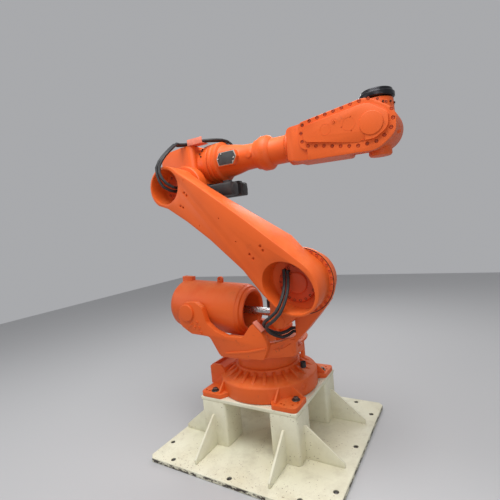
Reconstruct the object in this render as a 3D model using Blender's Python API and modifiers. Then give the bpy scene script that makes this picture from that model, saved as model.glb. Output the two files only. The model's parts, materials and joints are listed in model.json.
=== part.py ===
"""Jointed six-axis industrial robot arm on a welded pedestal.

Metres, +Z up.  The origin is on the floor under the turning axis, +X is the
robot's front and +Y its far side.  The rest pose leans the lower arm back and
holds the forearm level with the tool flange pointing up.
"""
import math

import bmesh
import bpy
from mathutils import Matrix, Vector

# pedestal
plate_x = (-0.620, 0.656)
plate_y = (-0.642, 0.584)
plate_thick = 0.030
pedestal_top = 0.360
post_width = 0.195
post_reach_x = 0.361
post_reach_y = 0.352
top_thick = 0.025
gusset_thick = 0.014
gusset_high = 0.215
gusset_toe = 0.030

# robot kinematics
axis2_x = 0.410
axis2_z = pedestal_top + 0.780
lower_arm_length = 1.075
lower_arm_lean = 51.2
elbow_rise = 0.165
wrist_reach = 1.306
flange_reach = 0.215

# foot and turntable
foot_thick = 0.030
foot_wide = 0.165
skirt_radius = 0.345
skirt_high = 0.108
ring_radius = 0.251
ring_low = pedestal_top + 0.272
deck_top = pedestal_top + 0.340
deck_radius = 0.300
hub_near = -0.2170
hub_ring = 0.205
hub_radius = 0.170
fork_near = (-0.350, -0.305)
fork_far = (0.075, 0.120)
trunnion_x = -0.408
trunnion_z = 0.946
balancer_y = -0.115

# lower arm, across and along its own line
arm_near = -0.402
arm_far = -0.2225
hole_depth = 0.140
ear_x = -0.2768
ear_z = -0.0348
ear_far = 0.210

# balancer, along its own axis from the trunnion
balancer_radius = 0.180
balancer_back = -0.246
balancer_front = 0.396
recess_radius = 0.1195
rod_radius = 0.026
rod_length = 0.530
eye_radius = 0.050
pin_radius = 0.027

# forearm and wrist, along its own axis from axis 3
housing_front = 0.165
tube_end = 0.512
collar_end = 0.628
extender_end = 0.775
wrist_back = 0.822
cheek_inner = 0.128
cheek_face = 0.170
cheek_far = (0.098, 0.120)
wrist_disc_face = 0.200

gap = 0.0003
turn_gap = 0.005
seat_gap = 0.0006
pin_gap = 0.001

for item in list(bpy.data.objects):
    bpy.data.objects.remove(item, do_unlink=True)

parts = bpy.data.collections.new("robot_arm")
bpy.context.scene.collection.children.link(parts)
cutters = bpy.data.collections.new("cutters")
bpy.context.scene.collection.children.link(cutters)


def make_material(name, color, roughness, metallic):
    material = bpy.data.materials.new(name)
    material.use_nodes = True
    shader = material.node_tree.nodes["Principled BSDF"]
    shader.inputs["Base Color"].default_value = (*color, 1.0)
    shader.inputs["Roughness"].default_value = roughness
    shader.inputs["Metallic"].default_value = metallic
    return material


orange = make_material("orange_paint", (0.80, 0.11, 0.03), 0.42, 0.0)
cream = make_material("cream_paint", (0.72, 0.70, 0.52), 0.55, 0.0)
black = make_material("black_paint", (0.02, 0.02, 0.022), 0.5, 0.0)
rubber = make_material("black_rubber", (0.015, 0.015, 0.016), 0.6, 0.0)
steel = make_material("dark_steel", (0.10, 0.10, 0.10), 0.4, 0.9)
chrome = make_material("chrome_rod", (0.6, 0.6, 0.6), 0.15, 1.0)
hatch = make_material("grey_cover", (0.05, 0.055, 0.06), 0.45, 0.0)
salmon = make_material("salmon_plate", (0.75, 0.25, 0.15), 0.5, 0.0)


def empty(name, location, parent=None, turn=(0, 0, 0)):
    item = bpy.data.objects.new(name, None)
    item.location = location
    item.rotation_euler = turn
    item.parent = parent
    parts.objects.link(item)
    return item


def add(name, mesh, material, parent, location=(0, 0, 0), turn=(0, 0, 0), flat=False):
    item = bpy.data.objects.new(name, mesh)
    parts.objects.link(item)
    item.location = location
    item.rotation_euler = turn
    item.parent = parent
    if material:
        mesh.materials.append(material)
    if not flat:
        mesh.shade_smooth()
        mesh.set_sharp_from_angle(angle=math.radians(32))
    return item


def box(name, low, high, material=None, parent=None, bevel=0.0, steps=1):
    mesh = bpy.data.meshes.new(name)
    work = bmesh.new()
    bmesh.ops.create_cube(work, size=1.0)
    size = [high[i] - low[i] for i in range(3)]
    bmesh.ops.scale(work, vec=size, verts=work.verts)
    work.to_mesh(mesh)
    work.free()
    middle = [(high[i] + low[i]) / 2 for i in range(3)]
    item = add(name, mesh, material, parent, middle, flat=True)
    if bevel:
        add_bevel(item, bevel, steps)
    return item


def add_bevel(item, width, steps=1, angle=30):
    bevel = item.modifiers.new("bevel", "BEVEL")
    bevel.width = width
    bevel.segments = steps
    bevel.limit_method = "ANGLE"
    bevel.angle_limit = math.radians(angle)
    return bevel


def rounded(points, arc=6):
    """Closed outline from (x, y, radius) corners, each replaced by an arc."""
    result = []
    count = len(points)
    for i in range(count):
        here = Vector(points[i][:2])
        radius = points[i][2] if len(points[i]) > 2 else 0.0
        if radius <= 0.0:
            result.append(here)
            continue
        back = Vector(points[i - 1][:2]) - here
        ahead = Vector(points[(i + 1) % count][:2]) - here
        room = 0.49 * min(back.length, ahead.length)
        back.normalize()
        ahead.normalize()
        half = back.angle(ahead) / 2
        along = min(radius / math.tan(half), room)
        radius = along * math.tan(half)
        centre = here + (back + ahead).normalized() * (radius / math.sin(half))
        first = here + back * along - centre
        last = here + ahead * along - centre
        sweep = first.angle_signed(last)
        for k in range(arc + 1):
            angle = -sweep * k / arc
            turned = Vector((
                first.x * math.cos(angle) - first.y * math.sin(angle),
                first.x * math.sin(angle) + first.y * math.cos(angle)))
            result.append(centre + turned)
    return [(p.x, p.y) for p in result]


def arc_points(centre, radius, start, end, count):
    result = []
    for k in range(count + 1):
        angle = math.radians(start + (end - start) * k / count)
        result.append((centre[0] + radius * math.cos(angle),
                       centre[1] + radius * math.sin(angle)))
    return result


def prism(name, points, thick, material=None, parent=None, location=(0, 0, 0),
          turn=(0, 0, 0), bevel=0.0):
    """Flat outline extruded half its thickness each way, as a mesh."""
    curve = bpy.data.curves.new(name, "CURVE")
    curve.dimensions = "2D"
    curve.fill_mode = "BOTH"
    curve.extrude = thick / 2
    spline = curve.splines.new("POLY")
    spline.points.add(len(points) - 1)
    for point, target in zip(points, spline.points):
        target.co = (point[0], point[1], 0.0, 1.0)
    spline.use_cyclic_u = True
    holder = bpy.data.objects.new(name + "_outline", curve)
    bpy.context.scene.collection.objects.link(holder)
    mesh = solid_mesh(holder, name)
    bpy.data.objects.remove(holder, do_unlink=True)
    item = add(name, mesh, material, parent, location, turn)
    if bevel:
        add_bevel(item, bevel)
    return item


def solid_mesh(holder, name):
    bpy.context.view_layer.update()
    graph = bpy.context.evaluated_depsgraph_get()
    mesh = bpy.data.meshes.new_from_object(holder.evaluated_get(graph))
    mesh.name = name
    mesh.materials.clear()
    work = bmesh.new()
    work.from_mesh(mesh)
    bmesh.ops.remove_doubles(work, verts=work.verts, dist=0.00005)
    bmesh.ops.dissolve_degenerate(work, edges=work.edges, dist=0.00002)
    bmesh.ops.recalc_face_normals(work, faces=work.faces)
    work.to_mesh(mesh)
    work.free()
    return mesh


side = (math.radians(90), 0, 0)
ahead_turn = (0, math.radians(90), 0)


def side_prism(name, points, low, high, material=None, parent=None, bevel=0.0,
               origin=(0, 0)):
    """Outline in X and Z, from the nearer Y to the farther Y."""
    return prism(name, points, high - low, material, parent,
                 (origin[0], (low + high) / 2, origin[1]), side, bevel)


def turned(name, profile, material=None, parent=None, location=(0, 0, 0),
           turn=(0, 0, 0), steps=40):
    """Profile of (radius, height), outer side from top to bottom, spun round."""
    mesh = bpy.data.meshes.new(name)
    edges = [(i, i + 1) for i in range(len(profile) - 1)]
    closed = profile[0][0] > 0.0
    if closed:
        edges.append((len(profile) - 1, 0))
    mesh.from_pydata([(r, 0.0, z) for r, z in profile], edges, [])
    item = add(name, mesh, material, parent, location, turn)
    screw = item.modifiers.new("screw", "SCREW")
    screw.steps = steps
    screw.render_steps = steps
    screw.use_merge_vertices = True
    screw.merge_threshold = 0.00005
    screw.use_smooth_shade = True
    if not closed:
        screw.use_normal_calculate = False
    return item


def disc(name, radius, low, high, material=None, parent=None, location=(0, 0, 0),
         turn=(0, 0, 0), steps=40, edge=0.0):
    if edge:
        profile = [(0.0, high), (radius - edge, high), (radius, high - edge),
                   (radius, low), (0.0, low)]
    else:
        profile = [(0.0, high), (radius, high), (radius, low), (0.0, low)]
    return turned(name, profile, material, parent, location, turn, steps)


def combine(base, other, operation):
    other.hide_render = True
    other.display_type = "WIRE"
    parts.objects.unlink(other)
    cutters.objects.link(other)
    change = base.modifiers.new(operation.lower(), "BOOLEAN")
    change.operation = operation
    change.solver = "EXACT"
    change.object = other
    return base


def weld(base, *others):
    for other in others:
        combine(base, other, "UNION")
    return base


def carve(base, *others):
    for other in others:
        combine(base, other, "DIFFERENCE")
    return base


def smooth_route(points, spacing):
    """Evenly spaced points on a Catmull-Rom curve through the given points."""
    path = [Vector(p) for p in points]
    path = [path[0] * 2 - path[1]] + path + [path[-1] * 2 - path[-2]]
    fine = []
    for i in range(1, len(path) - 2):
        a, b, c, d = path[i - 1:i + 3]
        for k in range(24):
            t = k / 24
            fine.append(0.5 * (2 * b + (c - a) * t + (2 * a - 5 * b + 4 * c - d) * t * t
                               + (3 * b - a - 3 * c + d) * t ** 3))
    fine.append(path[-2])
    total = sum((fine[i + 1] - fine[i]).length for i in range(len(fine) - 1))
    count = max(4, round(total / spacing))
    result = [fine[0]]
    walked = 0.0
    target = total / count
    for i in range(len(fine) - 1):
        step = (fine[i + 1] - fine[i]).length
        while walked + step >= target - 1e-9 and len(result) < count:
            part = (target - walked) / step
            result.append(fine[i].lerp(fine[i + 1], part))
            target += total / count
        walked += step
    result.append(fine[-1])
    return result


def cable(name, points, radius, parent=None, spacing=0.045, material=rubber):
    curve = bpy.data.curves.new(name, "CURVE")
    curve.dimensions = "3D"
    curve.bevel_depth = radius
    curve.bevel_resolution = 2
    curve.use_fill_caps = True
    inner = smooth_route(points[1:-1], spacing)
    route = [Vector(points[0])] + inner + [Vector(points[-1])]
    spline = curve.splines.new("POLY")
    spline.points.add(len(route) - 1)
    for point, target in zip(route, spline.points):
        target.co = (*point, 1.0)
    holder = bpy.data.objects.new(name + "_route", curve)
    bpy.context.scene.collection.objects.link(holder)
    mesh = solid_mesh(holder, name)
    bpy.data.objects.remove(holder, do_unlink=True)
    return add(name, mesh, material, parent)


# joint frames
lean = math.radians(-lower_arm_lean)
axis3_x = axis2_x - lower_arm_length * math.sin(math.radians(lower_arm_lean))
axis3_z = axis2_z + lower_arm_length * math.cos(math.radians(lower_arm_lean))
forearm_z = axis3_z + elbow_rise
wrist_x = axis3_x + wrist_reach

axis1 = empty("axis_1", (0, 0, 0))
axis2 = empty("axis_2", (axis2_x, 0, axis2_z), axis1, (0, lean, 0))
axis3 = empty("axis_3", (0, 0, lower_arm_length), axis2, (0, -lean, 0))
axis4 = empty("axis_4", (0, 0, elbow_rise), axis3)
axis5 = empty("axis_5", (wrist_reach, 0, 0), axis4)
axis6 = empty("axis_6", (0, 0, 0), axis5)

ear_world_x = axis2_x + ear_x * math.cos(-lean) + ear_z * math.sin(lean)
ear_world_z = axis2_z + ear_x * math.sin(-lean) + ear_z * math.cos(lean)
rise = math.atan2(ear_world_z - trunnion_z, ear_world_x - trunnion_x)
trunnion = empty("trunnion_axis", (trunnion_x, balancer_y, trunnion_z), axis1, (0, -rise, 0))
rod_end = empty("rod_axis", (ear_x, balancer_y, ear_z), axis2, (0, -rise - lean, 0))


def build_pedestal():
    mid_x = (plate_x[0] + plate_x[1]) / 2
    mid_y = (plate_y[0] + plate_y[1]) / 2
    half_x = (plate_x[1] - plate_x[0]) / 2
    half_y = (plate_y[1] - plate_y[0]) / 2
    cut = 0.030
    outline = []
    for sx, sy in ((1, -1), (1, 1), (-1, 1), (-1, -1)):
        first = (sx * (half_x - cut), sy * half_y)
        second = (sx * half_x, sy * (half_y - cut))
        outline += [first, second] if sx * sy < 0 else [second, first]
    prism("pedestal_plate", outline, plate_thick, cream, None,
          (mid_x, mid_y, plate_thick / 2), bevel=0.003)
    low = plate_thick + gap
    high = pedestal_top - top_thick - gap
    names = {(-1, -1): "post_near_left", (1, -1): "post_near_right",
             (-1, 1): "post_far_left", (1, 1): "post_far_right"}
    for (sx, sy), name in names.items():
        far_x = sx * post_reach_x
        far_y = sy * post_reach_y
        near_x = far_x - sx * post_width
        near_y = far_y - sy * post_width
        corners = [(min(far_x, near_x), min(far_y, near_y), 0.022),
                   (max(far_x, near_x), min(far_y, near_y), 0.022),
                   (max(far_x, near_x), max(far_y, near_y), 0.022),
                   (min(far_x, near_x), max(far_y, near_y), 0.022)]
        post = prism(name, rounded(corners, 3), high - low, cream, None,
                     (0, 0, (low + high) / 2))
        for along_x in (True, False):
            weld(post, gusset(name, sx, sy, far_x, far_y, low, along_x))


def gusset(name, sx, sy, far_x, far_y, low, along_x):
    """Triangular stiffener from a post's outer face to near the plate's edge."""
    face = far_x if along_x else far_y
    sign = sx if along_x else sy
    toe = 0.600 if along_x else 0.583
    if sign > 0 and not along_x:
        toe = 0.560
    inner = face - sign * 0.004
    points = [(inner, low), (sign * toe, low), (sign * toe, low + gusset_toe),
              (face + sign * 0.012, low + gusset_high), (inner, low + gusset_high)]
    middle = post_width / 2
    if along_x:
        place = (0, far_y - sy * middle, 0)
        return prism(name + "_rib_x", points, gusset_thick, None, None, place, side)
    place = (far_x - sx * middle, 0, 0)
    turn = (math.radians(90), 0, math.radians(90))
    return prism(name + "_rib_y", points, gusset_thick, None, None, place, turn)


def build_top_frame():
    low = pedestal_top - top_thick
    frame = box("pedestal_top_frame", (-post_reach_x, -post_reach_y, low),
                (post_reach_x, post_reach_y, pedestal_top - gap), cream, None, 0.003)
    inner_x = post_reach_x - post_width
    inner_y = post_reach_y - post_width
    corners = [(-inner_x, -inner_y, 0.008), (inner_x, -inner_y, 0.008),
               (inner_x, inner_y, 0.008), (-inner_x, inner_y, 0.008)]
    opening = prism("frame_opening", rounded(corners, 2), 0.1, None, None,
                    (0, 0, pedestal_top))
    carve(frame, opening)


def build_foot():
    """Four pads and a round skirt with a sloping ledge that carries axis 1."""
    reach_x = post_reach_x - 0.001
    reach_y = post_reach_y - 0.001
    points = []
    for sx, sy in ((1, -1), (1, 1), (-1, 1), (-1, -1)):
        corner = (sx * reach_x, sy * reach_y, 0.03)
        side_a = (sx * (reach_x - foot_wide), sy * reach_y, 0.015)
        side_b = (sx * reach_x, sy * (reach_y - foot_wide), 0.015)
        waist_a = (sx * 0.120, sy * 0.225, 0.03)
        waist_b = (sx * 0.225, sy * 0.120, 0.03)
        run = [waist_a, side_a, corner, side_b, waist_b]
        points += run if sx * sy < 0 else run[::-1]
    base = prism("foot_casting", rounded(points, 3), foot_thick, orange, None,
                 (0, 0, pedestal_top + foot_thick / 2 + gap), bevel=0.005)
    low = pedestal_top + 0.006
    top = pedestal_top + 0.178
    ledge = pedestal_top + skirt_high
    skirt = turned("foot_skirt", [
        (0.1585, top), (0.226, top), (0.231, top - 0.004), (0.234, ledge + 0.042),
        (0.240, ledge + 0.034), (skirt_radius - 0.018, ledge + 0.006),
        (skirt_radius - 0.005, ledge), (skirt_radius, ledge - 0.008),
        (skirt_radius, low), (0.1585, low)], steps=56)
    weld(base, skirt)
    for sx, sy in ((1, -1), (1, 1), (-1, 1), (-1, -1)):
        for along_x in (True, False):
            weld(base, foot_rib(sx, sy, along_x))
    port = disc("foot_port", 0.020, 0.290, 0.400, None, None,
                (0, 0, pedestal_top + 0.070), (0, math.radians(90), math.radians(-21)), 20)
    pad = box("foot_panel_pad", (-0.350, -0.095, pedestal_top + 0.012),
              (-0.250, 0.095, pedestal_top + 0.101))
    weld(base, pad)
    carve(base, port)
    box("foot_connector_panel", (-0.362, -0.085, pedestal_top + 0.020),
        (-0.350 - gap, 0.085, pedestal_top + 0.095), black, None, 0.004)
    bottom = pedestal_top + foot_thick + 2 * gap
    disc("axis1_gearbox", 0.158, bottom, ring_low - seat_gap, steel, None, steps=40)
    turned("axis1_seal_ring", [
        (0.1585, ring_low - turn_gap), (0.208, ring_low - turn_gap),
        (0.215, ring_low - turn_gap - 0.006), (0.215, top + gap),
        (0.1585, top + gap)], orange, None, steps=40)


def foot_rib(sx, sy, along_x):
    """Small upright rib from the skirt down to the outer edge of a pad."""
    reach = post_reach_x if along_x else post_reach_y
    across = (post_reach_y if along_x else post_reach_x) - foot_wide + 0.014
    sign = sx if along_x else sy
    other = sy if along_x else sx
    points = [(sign * 0.240, pedestal_top + 0.012), (sign * (reach - 0.016), pedestal_top + 0.012),
              (sign * (reach - 0.016), pedestal_top + foot_thick + 0.012),
              (sign * 0.270, pedestal_top + skirt_high - 0.004),
              (sign * 0.240, pedestal_top + skirt_high - 0.004)]
    if along_x:
        return prism("foot_rib", points, 0.012, None, None, (0, other * across, 0), side)
    turn = (math.radians(90), 0, math.radians(90))
    return prism("foot_rib", points, 0.012, None, None, (other * across, 0, 0), turn)


def build_turntable():
    """Ring, deck, axis-2 hub with its web, the near wall and two fork arms."""
    body = turned("turntable_casting", [
        (0.0, deck_top), (deck_radius - 0.006, deck_top), (deck_radius, deck_top - 0.008),
        (ring_radius, deck_top - 0.048), (ring_radius, ring_low), (0.0, ring_low)],
        orange, axis1, steps=56)
    shelf = prism("near_shelf", rounded([
        (-0.205, -0.180, 0.02), (-0.165, -0.347, 0.03), (0.060, -0.347, 0.04),
        (0.318, -0.210, 0.03), (0.322, -0.060, 0.03), (0.20, -0.04, 0.0)], 3), 0.042,
        None, None, (0, 0, deck_top - 0.019))
    web = side_prism("turntable_web", rounded([
        (0.190, deck_top - 0.014, 0), (0.268, deck_top - 0.014, 0.03),
        (0.388, 0.806, 0.03), (0.472, 0.902, 0.0), (0.556, 0.994, 0.0), (0.50, 1.10, 0.0),
        (0.40, 1.08, 0.0), (0.336, 0.985, 0.03), (0.336, 0.798, 0.004), (0.300, 0.768, 0.02),
        (0.190, 0.768, 0)], 4), -0.200, -0.165)
    inner = side_prism("turntable_inner_web", rounded([
        (0.170, deck_top - 0.010, 0), (0.262, deck_top - 0.010, 0.03),
        (0.380, 0.808, 0.03), (0.464, 0.904, 0.0), (0.540, 1.000, 0.0), (0.50, 1.09, 0.0),
        (0.42, 1.07, 0.0), (0.368, 0.985, 0.03), (0.366, 0.830, 0.03), (0.320, 0.752, 0.02),
        (0.170, 0.752, 0)], 4), -0.1655, -0.050)
    hub = turned("turntable_hub", [
        (0.0, -arm_far - seat_gap), (0.118, -arm_far - seat_gap), (0.118, -hub_near),
        (hub_ring - 0.006, -hub_near), (hub_ring, -hub_near - 0.006),
        (hub_ring, -hub_near - 0.026), (hub_ring - 0.010, -hub_near - 0.034),
        (hub_radius, -hub_near - 0.044), (hub_radius, 0.060), (0.158, 0.046),
        (0.118, 0.040), (0.112, -0.024), (0.106, -0.030), (0.0, -0.030)], None, None,
        (axis2_x, 0, axis2_z), side, 48)
    wall = prism("near_wall", rounded([
        (0.110, -0.349, 0), (0.326, -0.201, 0.0), (0.326, -0.163, 0.0), (0.110, -0.312, 0)], 2),
        0.086, None, None, (0, 0, deck_top + 0.022))
    near = rounded([
        (-0.160, deck_top - 0.030, 0.02), (0.170, deck_top - 0.030, 0.02),
        (0.205, 0.745, 0.02), (0.202, 0.785, 0.02), (0.172, 0.842, 0.006),
        (0.118, 0.896, 0.006), (0.098, 0.884, 0.02), (0.030, 0.800, 0.03),
        (-0.100, 0.800, 0.04), (-0.186, 0.832, 0.04), (-0.246, 0.880, 0.05),
        (-0.278, 0.985, 0.03), (-0.330, 1.020, 0.03), (-0.440, 1.016, 0.045),
        (-0.492, 0.930, 0.05), (-0.470, 0.850, 0.05), (-0.385, 0.800, 0.05),
        (-0.230, 0.790, 0.04)], 4)
    fork = side_prism("fork_near", near, fork_near[0], fork_near[1])
    far = rounded([
        (-0.180, deck_top - 0.024, 0.02), (0.060, deck_top - 0.024, 0.02),
        (0.040, 0.780, 0.03), (-0.100, 0.798, 0.04), (-0.186, 0.832, 0.04),
        (-0.246, 0.880, 0.05), (-0.278, 0.985, 0.03), (-0.330, 1.020, 0.03),
        (-0.440, 1.016, 0.045), (-0.492, 0.930, 0.05), (-0.470, 0.850, 0.05),
        (-0.385, 0.800, 0.05), (-0.230, 0.790, 0.04)], 4)
    other = side_prism("fork_far", far, fork_far[0], fork_far[1])
    weld(body, shelf, wall, web, inner, hub, fork, other)


def build_turntable_parts():
    for sign, face, name in ((-1, fork_near[0], "near"), (1, fork_far[1], "far")):
        turn = side if sign < 0 else (math.radians(-90), 0, 0)
        disc("trunnion_cover_" + name, 0.060, gap, 0.014, orange, axis1,
             (trunnion_x, face, trunnion_z), turn, 28, 0.004)
    motor("axis2_motor", axis1, (axis2_x, 0.030 + gap, axis2_z),
          (math.radians(-90), 0, 0), 0.112, 0.200, 1)
    box("axis1_motor_bracket", (-0.090, fork_far[1] + 0.006, deck_top + gap),
        (0.090, 0.284, deck_top + 0.030), orange, axis1, 0.006)
    motor("axis1_motor", axis1, (0.000, 0.205, deck_top + 0.030 + gap), (0, 0, 0),
          0.130, 0.210, 1)
    plate = box("harness_clamp", (-0.040, fork_near[0], 0.0), (0.040, fork_near[1], 0.008),
                salmon, axis1, 0.001)
    plate.location = (0.1478, (fork_near[0] + fork_near[1]) / 2, 0.8775)
    plate.rotation_euler = (0, math.radians(45), 0)


def motor(name, parent, location, turn, wide, long, plug_side):
    """Square servo motor with a flange, a slimmer body, a rear cap and a plug."""
    half = wide / 2
    slim = half * 0.86
    body = prism(name, rounded([
        (-half, -half, 0.02), (half, -half, 0.02), (half, half, 0.02),
        (-half, half, 0.02)], 2), 0.022, black, parent)
    body.data.transform(Matrix.Translation((0, 0, 0.011)))
    trunk = prism(name + "_trunk", rounded([
        (-slim, -slim, 0.016), (slim, -slim, 0.016), (slim, slim, 0.016),
        (-slim, slim, 0.016)], 2), long - 0.012, None, body, (0, 0, long / 2 - 0.002))
    cap = disc(name + "_cap", half * 0.80, long - 0.020, long, None, body, steps=24,
               edge=0.008)
    low, high = sorted((plug_side * half * 0.60, plug_side * half * 1.15))
    plug = box(name + "_plug", (low, -0.022, long - 0.085), (high, 0.022, long - 0.035),
               None, body)
    body.location = location
    body.rotation_euler = turn
    weld(body, trunk, cap, plug)
    return body


def build_balancer():
    """Spring cylinder hung between the fork arms, hollow from the front."""
    front = balancer_front
    back = balancer_back
    radius = balancer_radius
    shell = turned("balancer_cylinder", [
        (0.0, -0.002), (recess_radius, -0.002), (recess_radius, front - 0.014),
        (recess_radius + 0.012, front), (radius - 0.036, front),
        (radius - 0.030, front - 0.012), (radius - 0.026, front - 0.020),
        (radius - 0.014, front - 0.024), (radius - 0.008, front - 0.044),
        (radius - 0.002, front - 0.050), (radius, front - 0.062), (radius, back + 0.075),
        (radius - 0.008, back + 0.048), (radius - 0.028, back + 0.022),
        (radius - 0.058, back + 0.006), (0.075, back), (0.060, back), (0.060, back + 0.008),
        (0.0, back + 0.008)], orange, trunnion, (0, 0, 0), ahead_turn, 52)
    reach = balancer_y - fork_near[1] - seat_gap
    for sign in (-1, 1):
        turn = side if sign < 0 else (math.radians(-90), 0, 0)
        stub = disc("balancer_stub", 0.046, radius - 0.030, reach, None, trunnion,
                    (0, 0, 0), turn, 24)
        weld(shell, stub)
    pad = box("balancer_lift_pad", (-0.045, -0.022, -0.030), (0.045, 0.022, 0.026), None,
              trunnion)
    pad.location = (-0.163, 0, radius)
    weld(shell, pad)
    eye = disc("balancer_lug", 0.020, -0.011, 0.011, orange, trunnion,
               (0.130, 0, radius + 0.022), side, 16)
    foot = box("balancer_lug_foot", (-0.020, -0.0109, -0.030), (0.020, 0.0109, 0.0), None,
               trunnion)
    foot.location = (0.130, 0, radius + 0.0145)
    hole = disc("balancer_lug_hole", 0.009, -0.05, 0.05, None, trunnion,
                (0.130, 0, radius + 0.024), side, 12)
    plane = disc("balancer_lug_seat", radius + gap, -0.1, 0.6, None, trunnion,
                 (0, 0, 0), ahead_turn, 52)
    weld(eye, foot)
    carve(eye, hole, plane)
    disc("balancer_end_cap", 0.055, -back - 0.008 + gap, -back + 0.014,
         orange, trunnion, (0, 0, 0), (0, math.radians(-90), 0), 24, 0.006)
    disc("balancer_rod", rod_radius, 0.040, rod_length, chrome, rod_end,
         (0, 0, 0), (0, math.radians(-90), 0), 20, 0.004)
    head = turned("balancer_rod_eye", [
        (eye_radius - 0.004, 0.034), (eye_radius, 0.030), (eye_radius, -0.030),
        (eye_radius - 0.004, -0.034), (pin_radius + pin_gap, -0.034),
        (pin_radius + pin_gap, 0.034)], steel, rod_end, (0, 0, 0), side, 24)
    neck = disc("rod_neck", 0.034, 0.044, 0.105, None, rod_end, (0, 0, 0),
                (0, math.radians(-90), 0), 20)
    seat = disc("rod_seat", rod_radius + gap, 0.0395, 0.2, None, rod_end, (0, 0, 0),
                (0, math.radians(-90), 0), 20)
    weld(head, neck)
    carve(head, seat)


def arm_outlines():
    """Matching outlines of the lower arm's near and far faces."""
    long = lower_arm_length
    near = [(0.160 * math.cos(a) - 0.003, 0.190 * math.sin(a) + 0.001)
            for a in [math.radians(190 + 170 * k / 14) for k in range(15)]]
    far = arc_points((0, 0), 0.178, 190, 362, 14)
    near += [(0.158, 0.070), (0.158, 0.200), (0.157, 0.450), (0.151, 0.700), (0.143, 0.900)]
    far += [(0.181, 0.100), (0.200, 0.201), (0.172, 0.450), (0.144, 0.694), (0.128, 0.880)]
    near += arc_points((-0.003, long), 0.139, -14, 186, 16)
    far += arc_points((-0.002, long), 0.127, -14, 186, 16)
    near += [(-0.114, 0.985), (-0.095, 0.800), (-0.089, 0.586), (-0.099, 0.400),
             (-0.105, 0.290), (-0.122, 0.210), (-0.144, 0.110)]
    far += [(-0.120, 0.970), (-0.112, 0.800), (-0.112, 0.586), (-0.122, 0.400),
            (-0.132, 0.290), (-0.148, 0.210), (-0.168, 0.110)]
    return near, far


def loft(name, near, far, low, high, material, parent, bevel):
    """Body between a near outline at low Y and a far outline at high Y."""
    work = bmesh.new()
    ring = [work.verts.new((x, low, z)) for x, z in near]
    face = work.faces.new(ring)
    pairs = {vert: point for vert, point in zip(ring, far)}
    grown = bmesh.ops.extrude_face_region(work, geom=[face])
    fresh = [item for item in grown["geom"] if isinstance(item, bmesh.types.BMVert)]
    for vert in fresh:
        start = min(ring, key=lambda other: (other.co - vert.co).length)
        vert.co = (pairs[start][0], high, pairs[start][1])
    bmesh.ops.recalc_face_normals(work, faces=work.faces)
    mesh = bpy.data.meshes.new(name)
    work.to_mesh(mesh)
    work.free()
    item = add(name, mesh, material, parent)
    add_bevel(item, bevel, 2, 40)
    return item


def ellipse(centre, across, along, count):
    return [(centre[0] + across * math.cos(2 * math.pi * k / count),
             centre[1] + along * math.sin(2 * math.pi * k / count)) for k in range(count)]


def build_lower_arm():
    """Box-section casting from axis 2 to axis 3 with its rear spring ear."""
    long = lower_arm_length
    near, far = arm_outlines()
    body = loft("lower_arm_casting", near, far, arm_near, arm_far, orange, axis2, 0.006)
    ear = rounded([
        (-0.08, -0.130, 0), (-0.295, -0.085, 0.04), (-0.330, -0.040, 0.04),
        (-0.300, 0.014, 0.04), (-0.10, 0.150, 0.0)], 4)
    lug = side_prism("spring_ear", ear, -0.290, arm_far - 0.0005, None, axis2)
    boss = disc("spring_ear_boss", 0.044, ear_far, 0.293, None, axis2,
                (ear_x, 0, ear_z), side, 24)
    depth = arm_near + hole_depth
    big = side_prism("axis2_hole", ellipse((-0.010, 0.001), 0.137, 0.173, 44),
                     arm_near - 0.1, depth, None, axis2)
    small = side_prism("axis3_hole", ellipse((-0.005, long + 0.006), 0.118, 0.118, 36),
                       arm_near - 0.1, depth, None, axis2)
    weld(body, lug, boss)
    carve(body, big, small)
    disc("balancer_pin", pin_radius, 0.079, ear_far - gap, steel, axis2,
         (ear_x, 0, ear_z), side, 20, 0.003)
    seat = -depth + gap
    turned("axis2_gear_flange", [
        (0.0, seat + 0.030), (0.060, seat + 0.030), (0.066, seat + 0.024),
        (0.066, seat + 0.018), (0.112, seat + 0.018), (0.118, seat + 0.012),
        (0.118, seat), (0.0, seat)], orange, axis2, (0, 0, 0), side, 36)
    turned("axis3_gear_flange", [
        (0.0, seat + 0.024), (0.046, seat + 0.024), (0.050, seat + 0.019),
        (0.090, seat + 0.017), (0.095, seat + 0.012), (0.095, seat), (0.0, seat)],
        orange, axis2, (0, 0, long), side, 32)


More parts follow.
